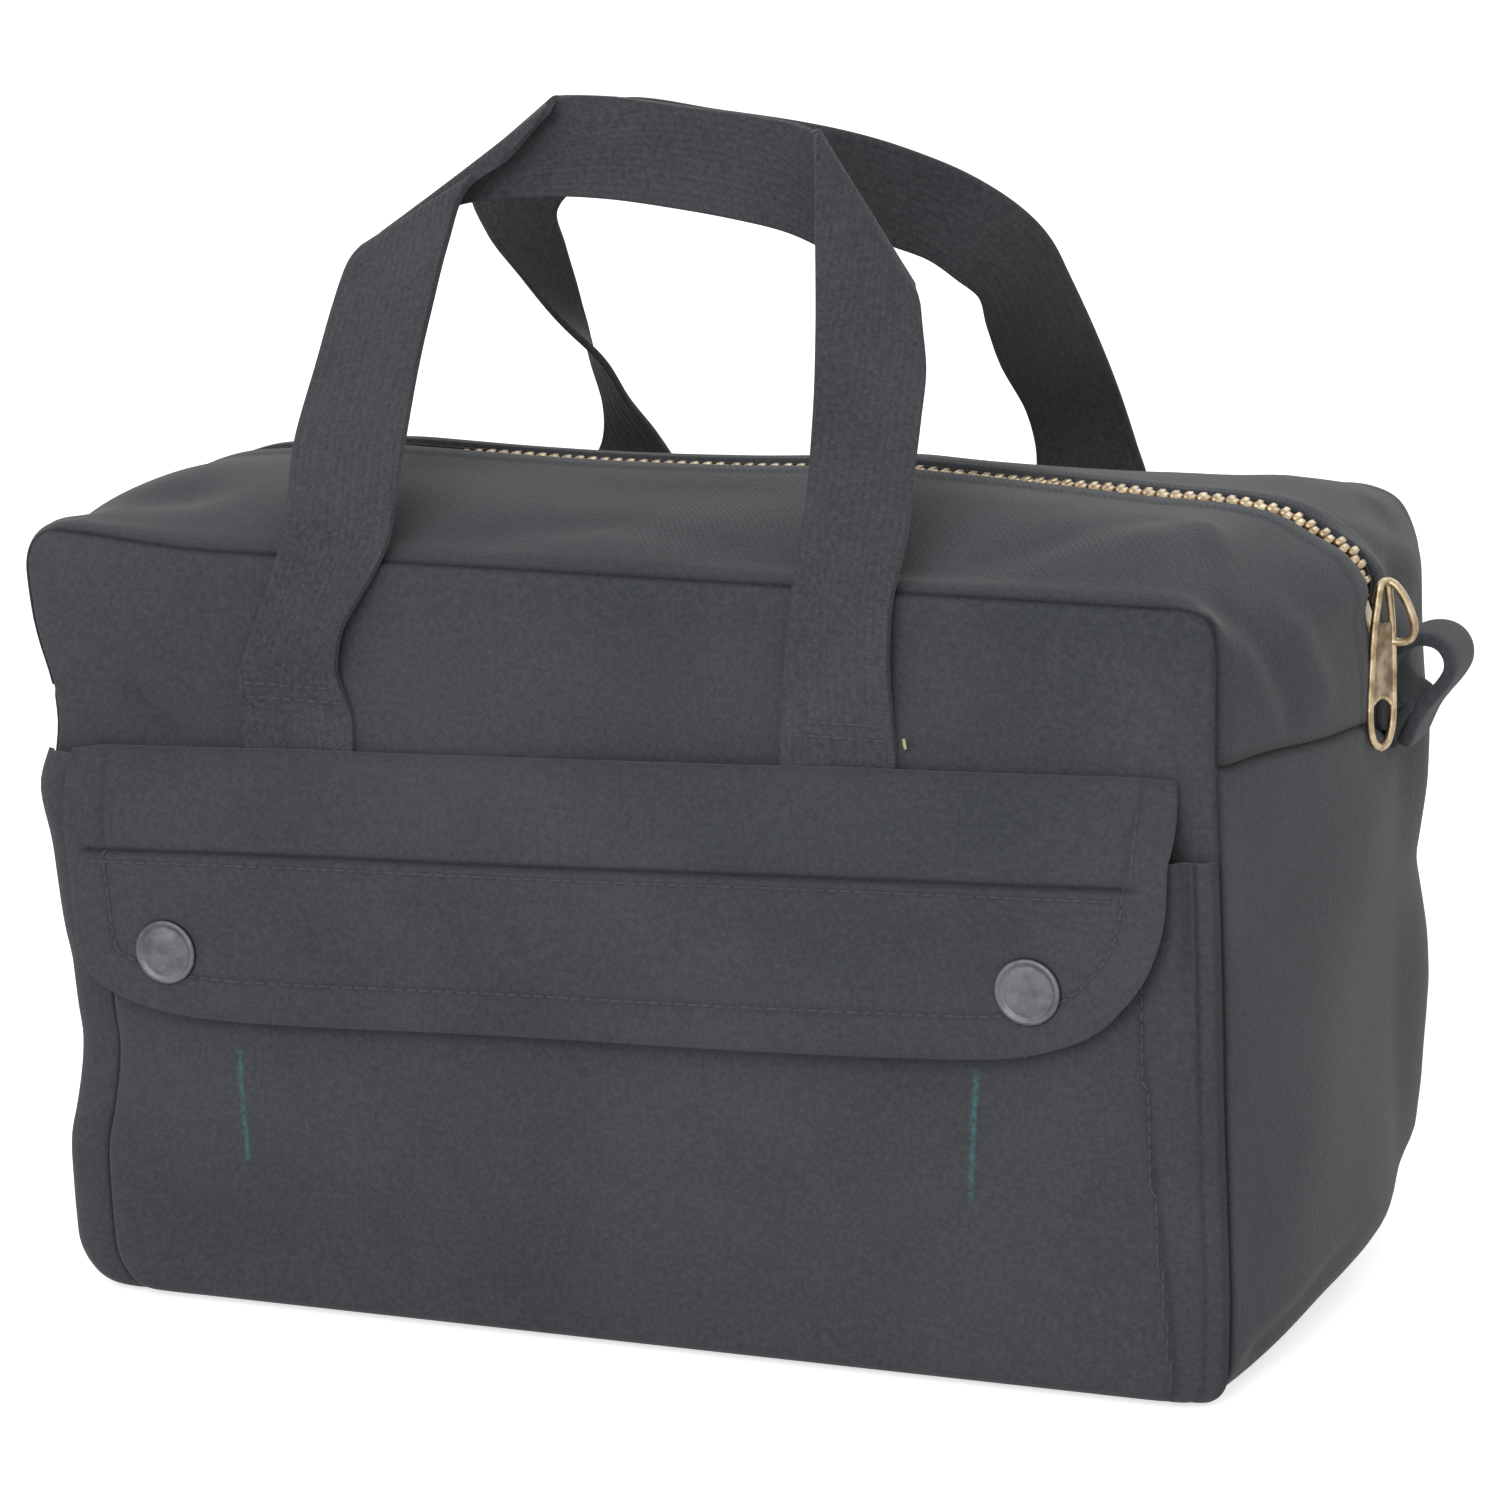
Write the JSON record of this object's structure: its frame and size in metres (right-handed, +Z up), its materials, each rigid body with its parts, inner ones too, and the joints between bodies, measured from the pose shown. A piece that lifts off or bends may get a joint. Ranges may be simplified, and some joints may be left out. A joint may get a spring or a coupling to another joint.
{
  "type": "canvas tool bag",
  "caption": "Rectangular heavy canvas tool bag with a zip top, two webbing handles, a front pocket under a snapped flap, and a loop at one end.",
  "frame": {"origin": "centre of the flat base, between the four corner seams, on the surface that the bag stands on", "axes": "+X along the bag's length, towards the end with the slider and the loop; -Y towards the front with the pocket; +Z up"},
  "size_m": [0.3297, 0.1667, 0.2729],
  "materials": {
    "canvas": "matt charcoal cotton canvas",
    "webbing": "matt ribbed cotton webbing",
    "zip_tape": "matt woven tape",
    "brass": "antique brass, rubbed bright at the edges",
    "snap_steel": "dull grey plated steel"
  },
  "bodies": {
    "bag": {"front_panel": "canvas", "rear_panel": "canvas", "bottom_panel": "canvas", "right_end_panel": "canvas", "left_end_panel": "canvas", "front_shoulder_right": "canvas", "front_shoulder_left": "canvas", "rear_shoulder_right": "canvas", "rear_shoulder_left": "canvas", "front_tape_right": "zip_tape", "front_tape_left": "zip_tape", "rear_tape_right": "zip_tape", "rear_tape_left": "zip_tape", "front_teeth_right": "brass", "front_teeth_left": "brass", "rear_teeth_right": "brass", "rear_teeth_left": "brass", "zip_stop_right": "brass", "zip_stop_left": "brass", "pocket_panel": "canvas", "snap_studs": "snap_steel", "snap_posts": "snap_steel", "front_handle_end_left": "webbing", "front_handle_end_right": "webbing", "rear_handle_end_left": "webbing", "rear_handle_end_right": "webbing"},
    "front_mouth": {"front_lip": "canvas", "front_tape_centre": "zip_tape", "front_teeth_centre": "brass"},
    "rear_mouth": {"rear_lip": "canvas", "rear_tape_centre": "zip_tape", "rear_teeth_centre": "brass"},
    "slider": {"slider_body": "brass", "slider_bail": "brass"},
    "pull": {"pull_tab": "brass"},
    "loop": {"end_loop": "canvas"},
    "flap": {"pocket_flap": "canvas", "snap_caps": "snap_steel", "snap_sockets": "snap_steel"},
    "front_strap": {"front_handle": "webbing"},
    "rear_strap": {"rear_handle": "webbing"}
  },
  "joints": [
    {"name": "front_mouth_opens", "type": "hinge", "parent": "bag", "child": "front_mouth", "pos_m": [0, -0.0737, 0.1748], "axis": [-1, 0, 0], "range_deg": [0, 65]},
    {"name": "rear_mouth_opens", "type": "hinge", "parent": "bag", "child": "rear_mouth", "pos_m": [0, 0.0737, 0.1748], "axis": [1, 0, 0], "range_deg": [0, 65]},
    {"name": "slider_runs", "type": "hinge", "parent": "bag", "child": "slider", "pos_m": [0.114, 0, 0.149], "axis": [0, -1, 0], "range_deg": [0, 60]},
    {"name": "pull_swings", "type": "hinge", "parent": "slider", "child": "pull", "pos_m": [0.15609, 0, 0.16648], "axis": [0, -1, 0], "range_deg": [0, 150]},
    {"name": "loop_bends", "type": "hinge", "parent": "bag", "child": "loop", "pos_m": [0.1571, 0.017, 0.1308], "axis": [0, 1, 0], "range_deg": [0, 110]},
    {"name": "flap_lifts", "type": "hinge", "parent": "bag", "child": "flap", "pos_m": [0.00049, -0.0799, 0.13601], "axis": [0.9993, 0, 0.0384], "range_deg": [-100, 0]},
    {"name": "front_handle_swings", "type": "hinge", "parent": "bag", "child": "front_strap", "pos_m": [0, -0.0783, 0.1488], "axis": [0.9993, 0, 0.0384], "range_deg": [0, 135]},
    {"name": "rear_handle_swings", "type": "hinge", "parent": "bag", "child": "rear_strap", "pos_m": [0, 0.0783, 0.1488], "axis": [-1, 0, 0], "range_deg": [0, 170]}
  ]
}
